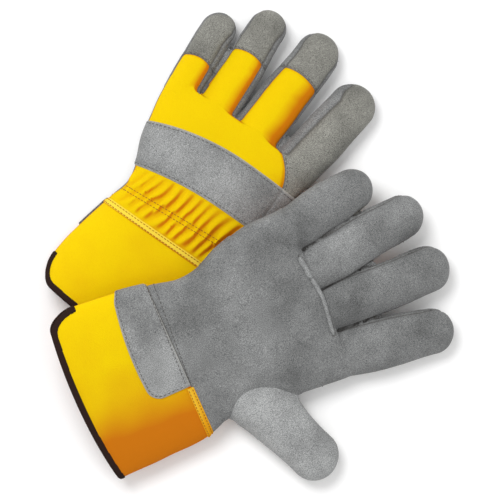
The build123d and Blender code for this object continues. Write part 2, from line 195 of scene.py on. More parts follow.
def thumb_coords(glove, p):
    """Points in the thumb's own frame."""
    x, y, yaw, drop = glove["thumb"][:4]
    return tube_frame((x, y, 0), yaw, drop, p)


def thumb_field(glove, p):
    length, root, belly, tip, height, stub = glove["thumb"][4:]
    return tube_field(thumb_coords(glove, p), length, root, belly, tip, height / 2 / belly, stub)


def thumb_lead(glove, p):
    """Positive on the thumb and negative on the hand."""
    thumb = thumb_field(glove, p)
    return np.where(thumb < 8, hand_field(glove, p) - thumb, -AWAY)


def soft_min(a, b, k):
    """The smaller of two fields, blended over about k where they are nearly equal."""
    h = np.clip(0.5 + 0.5 * (b - a) / k, 0, 1)
    return b * (1 - h) + a * h - k * h * (1 - h)


def skin_field(glove, p):
    """The whole glove as one smooth skin."""
    fingers = np.full(len(p), 1e3)
    for name in LITTLE_TO_INDEX:
        fingers = soft_min(fingers, finger_field(glove, name, p), 1.2)
    # the hand and the outer fingers run flush along the glove's sides, where a blend would swell them
    thumb_y, little_y = glove["outline"][-2, 1:3]
    inward = np.minimum(little_y - p[:, 1], p[:, 1] - thumb_y)
    d = soft_min(hand_field(glove, p), fingers, BLEND * np.clip(inward / 12, 0.1, 1))
    return soft_min(d, thumb_field(glove, p), 2 * BLEND)


# --- Building the skin ---
def new_object(name, vertices, faces, smooth=True):
    mesh = bpy.data.meshes.new(name)
    mesh.from_pydata(vertices, [], faces)
    mesh.update()
    if smooth:
        mesh.shade_smooth()
    made = bpy.data.objects.new(name, mesh)
    bpy.context.scene.collection.objects.link(made)
    return made


def ring_tube(rings):
    """Vertices and faces of a closed tube through rings of equally many points."""
    count = len(rings[0])
    faces = []
    for k in range(len(rings) - 1):
        for i in range(count):
            j = (i + 1) % count
            faces.append((k * count + i, k * count + j, (k + 1) * count + j, (k + 1) * count + i))
    faces.append(tuple(reversed(range(count))))
    faces.append(tuple((len(rings) - 1) * count + i for i in range(count)))
    return np.vstack(rings), faces


def hand_rings(glove):
    """Sections of the hand field, every 3 mm."""
    rings = []
    angles = np.linspace(0, 2 * np.pi, HAND_POINTS, endpoint=False)
    for x in np.arange(-12, glove["knuckle"] + 3, 3.0):
        knots, at = glove["outline"][:, 0], np.array([x])
        row = [smooth_through(at, knots, glove["outline"][:, k])[0] for k in range(1, 7)]
        thumb_y, little_y, palm, back, square, lean = row
        c, s = np.cos(angles), np.sin(angles)
        k = (np.abs(c) ** square + np.abs(s) ** square) ** (-1 / square)
        height = np.where(s * glove["side"] > 0, palm, back * (1 + lean * k * c))
        y = (little_y + thumb_y) / 2 + (little_y - thumb_y) / 2 * k * c
        rings.append(np.column_stack([np.full(HAND_POINTS, x), y, height * k * s]))
    return rings


def tube_rings(length, root, belly, tip, squeeze, start):
    """Sections of a tube field, from start to its round end."""
    rings = []
    angles = np.linspace(0, 2 * np.pi, TUBE_POINTS, endpoint=False)
    stops = list(np.linspace(start, length - tip, 16))
    stops += [length - tip + tip * math.sin(a) for a in np.linspace(0.15, 1.5, 9)]
    for x in stops:
        t = min(max(x / (length - tip), -0.05), 1)
        half = root * (1 - t) * (1 - 2 * t) + 4 * belly * t * (1 - t) + tip * t * (2 * t - 1)
        if x > length - tip:
            half = math.sqrt(max(tip**2 - (x - length + tip) ** 2, 0))
        rings.append(np.column_stack([
            np.full(TUBE_POINTS, x), half * np.cos(angles), half * squeeze * np.sin(angles)
        ]))
    return rings


def placed(rings, origin, yaw, drop):
    """Rings of a finger's or thumb's own frame, in the glove's frame."""
    turn = (turned(yaw, "Z") @ turned(drop, "Y")).T
    return [ring @ turn + np.array(origin) for ring in rings]


def skin(glove):
    """The glove's whole outer surface as vertices and triangles, before seams and folds."""
    blocks = [ring_tube(hand_rings(glove))]
    for name in LITTLE_TO_INDEX:
        root_y, yaw, drop, length, root, belly, tip = glove["fingers"][name]
        rings = tube_rings(length, root, belly, tip, FINGER_HEIGHT / 2 / belly, 2 - FINGER_STUB)
        blocks.append(ring_tube(placed(rings, (glove["knuckle"], root_y, 0), yaw, drop)))
    x, y, yaw, drop, length, root, belly, tip, height, stub = glove["thumb"]
    rings = tube_rings(length, root, belly, tip, height / 2 / belly, 2 - stub)
    blocks.append(ring_tube(placed(rings, (x, y, 0), yaw, drop)))
    vertices, faces, start = [], [], 0
    for block_vertices, block_faces in blocks:
        vertices.append(block_vertices)
        faces += [tuple(i + start for i in face) for face in block_faces]
        start += len(block_vertices)
    draft = new_object("draft", np.vstack(vertices), faces)
    remesh = draft.modifiers.new("remesh", "REMESH")
    remesh.mode = "VOXEL"
    remesh.voxel_size = SKIN_VOXEL
    smooth = draft.modifiers.new("smooth", "SMOOTH")
    smooth.iterations = 6
    mesh = draft.evaluated_get(bpy.context.evaluated_depsgraph_get()).to_mesh()
    p = np.empty(len(mesh.vertices) * 3)
    mesh.vertices.foreach_get("co", p)
    mesh.calc_loop_triangles()
    triangles = np.empty(len(mesh.loop_triangles) * 3, int)
    mesh.loop_triangles.foreach_get("vertices", triangles)
    bpy.data.objects.remove(draft)
    p = p.reshape(-1, 3)
    for _ in range(4):
        p = onto(glove, p)
    return p, triangles.reshape(-1, 3)


def onto(glove, p):
    """One step of each point toward the blended skin."""
    h = 0.2
    d = skin_field(glove, p)
    slope = np.column_stack([(skin_field(glove, p + h * e) - d) / h for e in np.eye(3)])
    size = np.maximum((slope**2).sum(axis=1), 0.2)
    return p - slope * np.clip(d / size, -1.5, 1.5)[:, None]


def normals_of(p, triangles):
    """Smooth normals at the points of a triangle mesh."""
    a, b, c = p[triangles[:, 0]], p[triangles[:, 1]], p[triangles[:, 2]]
    face = np.cross(b - a, c - a)
    total = np.zeros_like(p)
    for k in range(3):
        np.add.at(total, triangles[:, k], face)
    return total / np.maximum(np.linalg.norm(total, axis=1, keepdims=True), 1e-9)


# --- Seam fields, in the glove's frame: zero on the seam, about a distance in mm beside it ---
def palm_side(glove, p):
    """Positive on the palm side of the side seams."""
    wrap = PALM_WRAP * np.clip(p[:, 1] / 40, 0, 1) * np.clip((p[:, 0] - CUFF_LENGTH) / 12, 0, 1)
    z = p[:, 2] + wrap * glove["side"]
    for name in LITTLE_TO_INDEX:
        q = finger_coords(glove, name, p)
        mine = (q[:, 0] > 0) & (finger_field(glove, name, p) < 3)
        outside = PALM_WRAP * (q[:, 1] > 0) * glove["side"] if name == "little" else 0.0
        z = np.where(mine, q[:, 2] + outside, z)
    z = np.where(thumb_lead(glove, p) > 0, thumb_coords(glove, p)[:, 2], z)
    return z * glove["side"]


def rim_field(glove, p, inset=0.0):
    """Negative outside the cuff's rim."""
    x, y = p[:, 0], p[:, 1]
    thumb_y, little_y = glove["outline"][1, 1:3]
    middle, half = (thumb_y + little_y) / 2, (little_y - thumb_y) / 2
    bow = x + RIM_BOW * (1 - ((y - middle) / half) ** 2)
    length, width = RIM_CORNER
    u = (length - bow) / length
    v = (y - little_y + width) / width
    reach = np.hypot(u, v) + 1e-6
    corner = (1 - reach) * (length * u**2 + width * v**2) / reach**2
    near = (u > 0) & (v > 0)
    return np.where(near, corner - inset * np.clip(3 * u, 0, 1), bow - inset)


def bow_line(x, at, sag_little, sag_thumb, y, centre=0.0, span=60.0):
    """Distance past a line across the glove that curves back toward the cuff at both sides."""
    t = (y - centre) / span
    return x - at + np.where(t > 0, sag_little, sag_thumb) * t**2


def strap_field(glove, p):
    """Negative on the strap over the knuckles."""
    far = glove["knuckle"] - STRAP_MARGIN
    x, y = p[:, 0], p[:, 1]
    upper = bow_line(x, far + 1, 10.7, 3, y, centre=-20)
    lower = bow_line(x, far - STRAP_WIDTH + 2.2, 7.2, 0, y, centre=-25)
    return np.maximum(upper, -lower)


def patch_field(p):
    """Negative on the leather patch over the pulse."""
    x, y = p[:, 0], p[:, 1]
    near, far = PATCH_X
    left = near + 0.0022 * (y - 8) ** 2 + 3 * (np.maximum(y - 53, 0) / 8) ** 2
    u = np.maximum(left + PATCH_CORNER - x, 0)
    v = np.maximum(PATCH_THUMB_Y + PATCH_CORNER - y, 0)
    corner = np.where((u > 0) & (v > 0), np.hypot(u, v), np.maximum(u, v)) - PATCH_CORNER
    return np.maximum(corner, x - far)


def index_panel_field(glove, p):
    """Negative on the index finger's leather on the hand's back."""
    index, middle = glove["fingers"]["index"], glove["fingers"]["middle"]
    crotch = (index[0] + index[4] + middle[0] - middle[4]) / 2
    back = np.clip(glove["knuckle"] + 6 - p[:, 0], 0, 29)
    return (p[:, 1] - crotch + 1.3 * back - 0.022 * back**2) * 0.7


def cap_field(glove, name, p):
    """Negative short of a fingertip's leather cap."""
    q = finger_coords(glove, name, p)
    length, belly = glove["fingers"][name][3], glove["fingers"][name][5]
    return q[:, 0] - (length - CAP_LENGTH[name]) - 3.0 * (1 - (q[:, 1] / belly) ** 2) * 1.2


# --- Splitting the skin along fields ---
class Skin:
    """A triangle mesh with the rest place of every point, from which its fields are read."""

    def __init__(self, rest, triangles):
        self.rest, self.triangles = rest, triangles

    def split(self, field):
        """Cut every triangle that the field's zero line crosses. Field takes points and gives values."""
        values = field(self.rest)
        values = np.where(np.abs(values) < 1e-4, 1e-4, values)
        t = self.triangles
        sign = values[t] > 0
        crossed = sign.any(axis=1) & ~sign.all(axis=1) & (np.abs(values[t]).max(axis=1) < JUMP)
        lone = np.where(sign.sum(axis=1) == 1, sign.argmax(axis=1), (~sign).argmax(axis=1))
        cut = t[crossed]
        k = lone[crossed]
        rows = np.arange(len(cut))
        a, b, c = cut[rows, k], cut[rows, (k + 1) % 3], cut[rows, (k + 2) % 3]
        edges = np.sort(np.vstack([np.column_stack([a, b]), np.column_stack([a, c])]), axis=1)
        unique, where = np.unique(edges, axis=0, return_inverse=True)
        where = where.ravel()
        f0, f1 = values[unique[:, 0]], values[unique[:, 1]]
        share = (f0 / (f0 - f1))[:, None]
        fresh = self.rest[unique[:, 0]] * (1 - share) + self.rest[unique[:, 1]] * share
        ab = where[: len(cut)] + len(self.rest)
        ac = where[len(cut):] + len(self.rest)
        self.rest = np.vstack([self.rest, fresh])
        parts = [np.column_stack(corners) for corners in ((a, ab, ac), (ab, b, c), (ab, c, ac))]
        self.triangles = np.vstack([t[~crossed], *parts])

    def centres(self):
        return self.rest[self.triangles].mean(axis=1)


def contour(points, triangles, values):
    """The lines on a mesh where the values are zero, as lists of points with the way along each."""
    sign = values > 0
    mask = sign[triangles]
    near = np.abs(values[triangles]).max(axis=1) < JUMP
    crossed = triangles[mask.any(axis=1) & ~mask.all(axis=1) & near]
    links = {}
    places = {}
    for tri in crossed:
        ends = []
        for i, j in ((0, 1), (1, 2), (2, 0)):
            u, v = sorted((tri[i], tri[j]))
            if sign[u] != sign[v]:
                share = values[u] / (values[u] - values[v])
                places[(u, v)] = points[u] * (1 - share) + points[v] * share
                ends.append((u, v))
        if len(ends) == 2:
            links.setdefault(ends[0], []).append(ends[1])
            links.setdefault(ends[1], []).append(ends[0])
    lines = []
    left = set(links)
    starts = [e for e in links if len(links[e]) == 1] + list(links)
    for start in starts:
        if start not in left:
            continue
        line, here = [start], start
        left.discard(start)
        while True:
            onward = [e for e in links[here] if e in left]
            if not onward:
                break
            here = onward[0]
            left.discard(here)
            line.append(here)
        lines.append(np.array([places[e] for e in line]))
    return [line for line in lines if len(line) > 3]


# --- Folds and creases ---
def waves(p, wavelength, seed):
    """A smooth random field between about -1 and 1."""
    rng = np.random.default_rng(seed)
    total = np.zeros(len(p))
    for _ in range(7):
        way = rng.normal(size=3)
        way *= 2 * np.pi / wavelength / np.linalg.norm(way) * rng.uniform(0.6, 1.4)
        total += np.sin(p @ way + rng.uniform(0, 7))
    return total / 3


def elastic_row(glove, p):
    """Distance in front of the middle of the elastic across the wrist's back."""
    return p[:, 0] - glove["knuckle"] + ELASTIC_BACK + ELASTIC_SLANT * p[:, 1]


def gathers(glove, p):
    """Folds that the elastic draws up in the fabric of the wrist's back."""
    d = elastic_row(glove, p)
    y = p[:, 1]
    spread = y * (1 + 0.004 * np.abs(d)) + 0.32 * np.clip(d, -30, 30) + 1.6 * waves(p, 30, 5)
    wide = np.abs(np.sin(np.pi * spread / 8.0 + 1.2 * waves(p, 45, 6)))
    fine = np.abs(np.sin(np.pi * y / 4.3 + 0.8 * waves(p, 22, 7)))
    reach = np.where(d > 0, 21.0, 19.0)
    wide = (wide - 0.6) * 2.7 * np.exp(-((d / reach) ** 2)) * (0.8 + 0.5 * waves(p, 35, 8))
    fine = (fine - 0.6) * 1.3 * np.exp(-((d / 5.0) ** 2))
    pinch = -1.2 * np.exp(-((d / 4.5) ** 2))
    on_back = np.clip(-palm_side(glove, p) / 3, 0, 1) * np.clip(-thumb_lead(glove, p) / 4, 0, 1)
    in_reach = np.clip((p[:, 0] - CUFF_LENGTH - 1) / 4, 0, 1) * np.clip(strap_field(glove, p) / 2, 0, 1)
    folds = wide + fine + pinch
    return np.where(folds < 0, 0.75 * np.tanh(folds / 1.5), folds * 1.05) * on_back * in_reach


def groove(distance, depth, width):
    """A soft dent along a line, by the distance to it."""
    return -depth * np.exp(-((distance / width) ** 2))


def seam_fields(glove):
    """The fields whose zero lines cut the skin into its pieces."""
    def side(p):
        return np.where(p[:, 0] > CUFF_LENGTH - 1, palm_side(glove, p), AWAY)

    def on_hand(p, half):
        return (palm_side(glove, p) * half > 0) & (thumb_lead(glove, p) < -1)

    def fronts(p):
        return np.where(on_hand(p, 1), fronts_field(glove, p), AWAY)

    def index_panel(p):
        here = on_hand(p, -1) & (p[:, 0] < glove["knuckle"] + 4)
        return np.where(here, index_panel_field(glove, p), AWAY)

    def finger(name, line, keep):
        def field(p):
            mine = (finger_field(glove, name, p) < 1.5) & (p[:, 0] > glove["knuckle"] - 4) & keep(p)
            return np.where(mine, line(p), AWAY)
        return field

    fields = {
        "cuff": lambda p: p[:, 0] - CUFF_LENGTH,
        "side": side, "thumb": partial(thumb_lead, glove), "fronts": fronts, "index_panel": index_panel,
    }
    for name in CAP_LENGTH:
        line = partial(cap_field, glove, name)
        fields[f"{name}_cap"] = finger(name, line, lambda p: palm_side(glove, p) < 0)
    for name in LITTLE_TO_INDEX:
        line = partial(strip_edge, glove, name)
        fields[f"{name}_strip"] = finger(name, line, partial(facing, glove, name))
    return fields


def facing(glove, name, p):
    """True on the sides of a finger that face another finger."""
    across = finger_coords(glove, name, p)[:, 1]
    return ((across > 4) & (name != "little")) | ((across < -4) & (name != "index"))


def strip_edge(glove, name, p):
    """Negative on the strip of leather along a finger's side, which ends in a point near its tip."""
    q = finger_coords(glove, name, p)
    height = q[:, 2] * glove["side"]
    rear = np.where(q[:, 1] > 0, *STRIP_REAR[name])
    taper = np.sqrt(np.clip((glove["fingers"][name][3] - 5 - q[:, 0]) / 14, 0, 1))
    edge = np.abs(height + (rear - STRIP_FRONT) / 2) - (STRIP_FRONT + rear) / 2 * taper
    return np.maximum(edge, q[:, 0] - glove["fingers"][name][3] + 5)


def fronts_field(glove, p):
    """Negative short of the seam at the roots of the ring and middle fingers' fronts."""
    ring, middle = glove["fingers"]["ring"], glove["fingers"]["middle"]
    y = p[:, 1]
    inside = np.minimum(ring[0] + ring[4] + 1 - y, y - middle[0] + middle[4] + 1)
    line = p[:, 0] - glove["knuckle"] - 1.0 - 1.3 * np.sin((y - middle[0] + 5) / 11)
    return np.where(inside > 0, line, AWAY)


def soft_folds(glove, p):
    """The slack of leather and cloth: broad dents, and shallow creases at the fingers' joints."""
    depth = 0.55 * waves(p, 70, 11) + 0.28 * waves(p, 26, 12)
    for name in LITTLE_TO_INDEX:
        q = finger_coords(glove, name, p)
        near = np.exp(-(np.maximum(finger_field(glove, name, p), 0) / 2) ** 2)
        for share in (0.42, 0.74):
            d = q[:, 0] - share * glove["fingers"][name][3] + 0.15 * q[:, 1]
            crease = groove(d, 0.2, 2.5) * np.clip(-q[:, 2] * glove["side"] / 8 + 0.4, 0, 1)
            depth += crease * near * (q[:, 0] > 5)
    stiff = np.clip((CUFF_LENGTH + 4 - p[:, 0]) / 10, 0, 1)
    return depth * (1 - 0.7 * stiff)


# --- Pieces ---
def piece_names(glove, p):
    """The CAD node that each point belongs to, without the glove's name."""
    hand = hand_field(glove, p)
    fields = np.column_stack([finger_field(glove, name, p) for name in LITTLE_TO_INDEX])
    nearest = fields.argmin(axis=1)
    palm = palm_side(glove, p) > 0
    on_thumb = thumb_lead(glove, p) > 0
    past = (p[:, 0] > glove["knuckle"] - 2) & (fields.min(axis=1) < hand + 2)
    names = np.where(palm, "palm", "back_panel").astype("U32")
    panel = ~palm & (index_panel_field(glove, p) < 0) & (p[:, 0] > glove["knuckle"] - 34)
    names[panel] = "index_back"
    front = palm & (fronts_field(glove, p) > 0) & (fronts_field(glove, p) < 49)
    for k, name in enumerate(LITTLE_TO_INDEX):
        mine = past & (nearest == k)
        if name in ("ring", "middle"):
            names[front & (nearest == k)] = f"{name}_front"
        if name == "index":
            names[mine & ~palm] = "index_back"
        else:
            names[mine & ~palm & (cap_field(glove, name, p) > 0)] = f"{name}_tip_cap"
        strip = mine & facing(glove, name, p) & (strip_edge(glove, name, p) < 0)
        across = finger_coords(glove, name, p)[:, 1]
        if k > 0:
            names[strip & (across > 0)] = f"{LITTLE_TO_INDEX[k - 1]}_{name}_side_strip"
        if k < 3:
            names[strip & (across < 0)] = f"{name}_{LITTLE_TO_INDEX[k + 1]}_side_strip"
    names[on_thumb & palm] = "thumb_front"
    names[on_thumb & ~palm] = "thumb_back"
    names[(p[:, 0] < CUFF_LENGTH) & ~on_thumb] = "cuff"
    return names


def lay(glove, p):
    """Points of a glove's frame in the row frame, in metres."""
    x, y, z, turn, pitch, roll = glove["place"]
    whole_turn = turned(turn, "Z") @ turned(pitch, "Y") @ turned(roll, "X")
    laid = p @ whole_turn.T + np.array([x, y, z])
    laid[:, 2] = np.maximum(laid[:, 2], BENCH_GAP)
    return laid * MM


def edges_of(triangles):
    """The border edges of a set of triangles, each in its triangle's order."""
    pairs = np.vstack([triangles[:, [0, 1]], triangles[:, [1, 2]], triangles[:, [2, 0]]])
    key = np.sort(pairs, axis=1)
    _, first, count = np.unique(key, axis=0, return_index=True, return_counts=True)
    return pairs[first[count == 1]]


def shell(glove, name, triangles, rest, outer, inner, shade):
    """A closed piece between an outer and an inner surface over the same triangles."""
    used, local = np.unique(triangles, return_inverse=True)
    local = local.reshape(-1, 3)
    border = edges_of(local)
    n = len(used)
    faces = [local, local[:, ::-1] + n]
    a, b = border[:, 0], border[:, 1]
    faces += [np.column_stack([b, a, a + n]), np.column_stack([b, a + n, b + n])]
    vertices = lay(glove, np.vstack([outer[used], inner[used]]))
    made = new_object(f"{glove['name']}_{name}_look", vertices, np.vstack(faces).tolist())
    mesh = made.data
    cloth = mesh.attributes.new("cloth", "FLOAT_VECTOR", "POINT")
    cloth.data.foreach_set("vector", np.vstack([rest[used], rest[used]]).ravel())
    # crease carries painted shade where positive, in seam grooves and fold valleys, and the paler raw edges
    # of layers sewn on top where negative.
    crease = mesh.attributes.new("crease", "FLOAT", "POINT")
    crease.data.foreach_set("value", np.concatenate([shade[used], shade[used]]))
    mesh.set_sharp_from_angle(angle=math.radians(55))
    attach(made, glove["body"])
    return made


def rolled(distance, radius):
    """How full an edge is, from 0 at the edge to 1 where its rounding ends."""
    t = np.clip(1 - distance / radius, 0, 1)
    return np.sqrt(1 - t**2 * 0.98)


def stitches(glove, name, lines, material, pitch=3.1, length=2.2, radius=0.34):
    """A row of thread stitches along each line. Lines hold points and normals."""
    vertices, faces = [], []
    around = np.linspace(0, 2 * np.pi, 6, endpoint=False)
    stops = np.array([-0.5, -0.42, -0.2, 0.2, 0.42, 0.5]) * length
    heights = np.array([-1.3, -0.1, 0.45, 0.45, -0.1, -1.3]) * radius
    sizes = np.array([0.5, 0.85, 1, 1, 0.85, 0.5]) * radius
    for line in lines:
        points, normals = line[:, :3], line[:, 3:]
        steps = np.linalg.norm(np.diff(points, axis=0), axis=1)
        along = np.concatenate([[0], np.cumsum(steps)])
        if along[-1] < pitch:
            continue
        for s in np.arange(pitch / 2, along[-1] - pitch / 4, pitch):
            centre = np.array([np.interp(s, along, points[:, k]) for k in range(3)])
            fore = np.array([np.interp(s + 1.2, along, points[:, k]) for k in range(3)])
            aft = np.array([np.interp(s - 1.2, along, points[:, k]) for k in range(3)])
            up = np.array([np.interp(s, along, normals[:, k]) for k in range(3)])
            way = fore - aft
            way /= max(np.linalg.norm(way), 1e-6)
            up -= way * (up @ way)
            up /= max(np.linalg.norm(up), 1e-6)
            beside = np.cross(way, up)
            start = len(vertices)
            for stop, height, size in zip(stops, heights, sizes):
                middle = centre + way * stop + up * height
                for angle in around:
                    vertices.append(middle + size * (math.cos(angle) * beside + math.sin(angle) * up))
            for k in range(5):
                for i in range(6):
                    j = (i + 1) % 6
                    a, b = start + k * 6, start + (k + 1) * 6
                    faces.append((a + i, a + j, b + j, b + i))
            faces.append(tuple(start + i for i in range(6)))
            faces.append(tuple(start + 30 + i for i in reversed(range(6))))
    made = new_object(f"{glove['name']}_{name}", lay(glove, np.array(vertices)), faces)
    made.data.materials.append(material)
    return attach(made, glove["body"])


# --- Materials ---
class Nodes:
    """A small helper over a material's node tree."""

    def __init__(self, name):
        self.material = bpy.data.materials.new(name)
        self.material.use_nodes = True
        self.tree = self.material.node_tree
        self.shader = self.tree.nodes["Principled BSDF"]

    def add(self, kind, inputs=None, **settings):
        node = self.tree.nodes.new(kind)
        for key, value in settings.items():
            setattr(node, key, value)
        for key, value in (inputs or {}).items():
            self.put(node.inputs[key], value)
        return node

    def put(self, socket, value):
        if isinstance(value, bpy.types.NodeSocket):
            self.tree.links.new(value, socket)
        else:
            socket.default_value = value

    def cloth(self):
        """Places on the cloth, in mm."""
        return self.add("ShaderNodeAttribute", attribute_name="cloth").outputs["Vector"]

    def crease(self):
        return self.add("ShaderNodeAttribute", attribute_name="crease").outputs["Fac"]

    def noise(self, scale, detail=3.0, rough=0.6, vector=None):
        inputs = {"Vector": vector or self.cloth(), "Scale": scale, "Detail": detail, "Roughness": rough}
        return self.add("ShaderNodeTexNoise", inputs).outputs["Fac"]

    def span(self, value, low, high, to_low=0.0, to_high=1.0):
        inputs = {"Value": value, "From Min": low, "From Max": high, "To Min": to_low, "To Max": to_high}
        return self.add("ShaderNodeMapRange", inputs).outputs["Result"]

    def mix(self, share, a, b, blend="MIX"):
        node = self.add("ShaderNodeMix", data_type="RGBA", blend_type=blend)
        self.put(node.inputs["Factor"], share)
        self.put(node.inputs[6], a)
        self.put(node.inputs[7], b)
        return node.outputs[2]

    def maths(self, operation, a, b=0.0):
        node = self.add("ShaderNodeMath", operation=operation)
        self.put(node.inputs[0], a)
        self.put(node.inputs[1], b)
        return node.outputs[0]

    def lit(self, way):
        """How far a surface faces a direction of the row frame, from -1 to 1."""
        normal = self.add("ShaderNodeNewGeometry").outputs["Normal"]
        node = self.add("ShaderNodeVectorMath", operation="DOT_PRODUCT")
        self.put(node.inputs[0], normal)
        node.inputs[1].default_value = way
        return node.outputs["Value"]

    def bump(self, height, distance, strength=1.0):
        inputs = {"Height": height, "Distance": distance, "Strength": strength}
        self.put(self.shader.inputs["Normal"], self.add("ShaderNodeBump", inputs).outputs["Normal"])

    def finish(self, color, rough, sheen=0.0):
        self.put(self.shader.inputs["Base Color"], color)
        self.shader.inputs["Roughness"].default_value = rough
        self.shader.inputs["Specular IOR Level"].default_value = 0.04
        self.shader.inputs["Sheen Weight"].default_value = sheen
        return self.material


def suede(name, tone, warm=0.0):
    """Split leather: a short nap that shows as fine light and dark specks, with paler raw edges and painted
    shade in its seam grooves.
    """
    n = Nodes(name)
    dark = (0.08 * tone, (0.085 - 0.005 * warm) * tone, (0.088 - 0.016 * warm) * tone, 1)
    light = (0.52 * tone, (0.526 - 0.013 * warm) * tone, (0.52 - 0.06 * warm) * tone, 1)
    color = n.mix(n.span(n.noise(1.7, 4.0, 0.75), 0.33, 0.67), dark, light)
    broad = n.span(n.noise(0.026, 3.5), 0.3, 0.7, 0.62, 1.3)
    shade = n.add("ShaderNodeCombineColor", {"Red": broad, "Green": broad, "Blue": broad}).outputs["Color"]
    color = n.mix(1.0, color, shade, "MULTIPLY")
    # Painted shade: darker in the seam grooves, where crease is positive; the next line makes the raw edges
    # paler where it is negative.
    color = n.mix(n.span(n.crease(), 0.0, 1.0, 0.0, 0.7), color, (0.06, 0.055, 0.05, 1))
    color = n.mix(n.span(n.crease(), 0.0, -1.0, 0.0, 0.6), color, (0.50, 0.48, 0.42, 1))
    n.bump(n.noise(1.3, 4.0, 0.7), 0.35 * MM, 0.9)
    return n.finish(color, 0.95, 0.12)


def drill(name, bright, shade_and_weave, weave=1.9, turn=(0.50, 0.80)):
    """Cotton in a twill weave: fine slanting ribs, with painted shade: deep orange where the surface faces
    away from the key lamp, and in seam grooves and fold valleys.
    """
    n = Nodes(name)
    turned_cloth = n.add("ShaderNodeMapping", {"Vector": n.cloth(), "Rotation": (0, 0, math.radians(52))})
    inputs = {"Vector": turned_cloth.outputs["Vector"], "Scale": weave, "Distortion": 0.6, "Detail": 1.0}
    ribs = n.add("ShaderNodeTexWave", inputs).outputs["Fac"]
    # Painted shade: from the deep colour to the bright one as the surface turns toward (-0.25, 0.45, 0.86),
    # nearly the key lamp's direction; turn is the span of that facing over which it changes.
    color = n.mix(n.span(n.lit((-0.25, 0.45, 0.86)), *turn), shade_and_weave, bright)
    color = n.mix(n.span(ribs, 0.0, 1.0, 0.0, 0.14), color, shade_and_weave)
    color = n.mix(n.span(n.noise(1.6, 3.0, 0.7), 0.5, 0.8, 0.0, 0.25), color, shade_and_weave)
    color = n.mix(n.span(n.noise(0.03, 2.0), 0.45, 0.75, 0.0, 0.12), color, shade_and_weave)
    # Painted shade: deep orange in the seam grooves and in the gathers' valleys, where crease is positive.
    color = n.mix(n.span(n.crease(), 0.0, 1.0, 0.0, 0.75), color, (0.66, 0.20, 0.002, 1))
    n.bump(n.maths("ADD", ribs, n.noise(2.2, 2.0)), 0.12 * MM, 0.7)
    return n.finish(color, 0.9)


def plain(name, color, other, scale=1.4, rough=0.85):
    """A material that wanders a little between two colours."""
    n = Nodes(name)
    n.bump(n.noise(scale, 2.0), 0.15 * MM, 0.6)
    return n.finish(n.mix(n.noise(scale, 2.0), color, other), rough)


def thread(name, color):
    n = Nodes(name)
    return n.finish(color, 0.7, 0.1)


# The pieces' grey tones differ as cut leather pieces do, and partly as painted light and shade: each was set
# to how bright its piece looked as lit, which makes the thumb's the lightest.
GREY = suede("grey suede", 0.60)
GREY_FRONT = suede("grey suede of the ring finger's front", 0.69)
GREY_STRAP = suede("grey suede of the strap", 0.75)
GREY_THUMB = suede("grey suede of the thumb", 0.92)
GREY_WARM = suede("grey suede of the finger backs", 0.68, warm=1.0)
# The deep colours are painted shade: each drill turns to its deep colour where the surface faces away from
# the key lamp, and to deep orange in its seam grooves and fold valleys; the deep colour also tints the
# weave's ribs and random mottling.
BRIGHT, SHADE_AND_WEAVE_ORANGE = (0.83, 0.60, 0.002, 1), (0.66, 0.20, 0.004, 1)
YELLOW = drill("yellow drill", BRIGHT, SHADE_AND_WEAVE_ORANGE)
CANVAS_YELLOW = drill("yellow canvas", BRIGHT, (0.58, 0.17, 0.006, 1), weave=1.4, turn=(0.625, 0.735))
BAND_YELLOW = drill("band drill", (0.93, 0.74, 0.07, 1), (0.80, 0.36, 0.01, 1), weave=2.4)
TAPE = plain("dark tape", (0.012, 0.006, 0.005, 1), (0.035, 0.02, 0.016, 1), 2.2)
FLANNEL = plain("cream flannel", (0.72, 0.67, 0.56, 1), (0.80, 0.76, 0.66, 1))
GREY_THREAD = thread("grey thread", (0.085, 0.08, 0.075, 1))
GOLD_THREAD = thread("gold thread", (0.36, 0.125, 0.005, 1))

# what each piece is made of, when it isn't the palm's grey suede
FINISH = {
    "cuff": (CANVAS_YELLOW, "yellow_canvas", CANVAS),
    "back_panel": (YELLOW, "yellow_drill", DRILL),
    "index_back": (GREY_WARM, "grey_suede", LEATHER),
    "ring_front": (GREY_FRONT, "grey_suede", LEATHER),
    "thumb_front": (GREY_THUMB, "grey_suede", LEATHER),
    "thumb_back": (GREY_WARM, "grey_suede", LEATHER),
}
FINISH.update({f"{name}_tip_cap": (GREY_WARM, "grey_suede", LEATHER) for name in CAP_LENGTH})


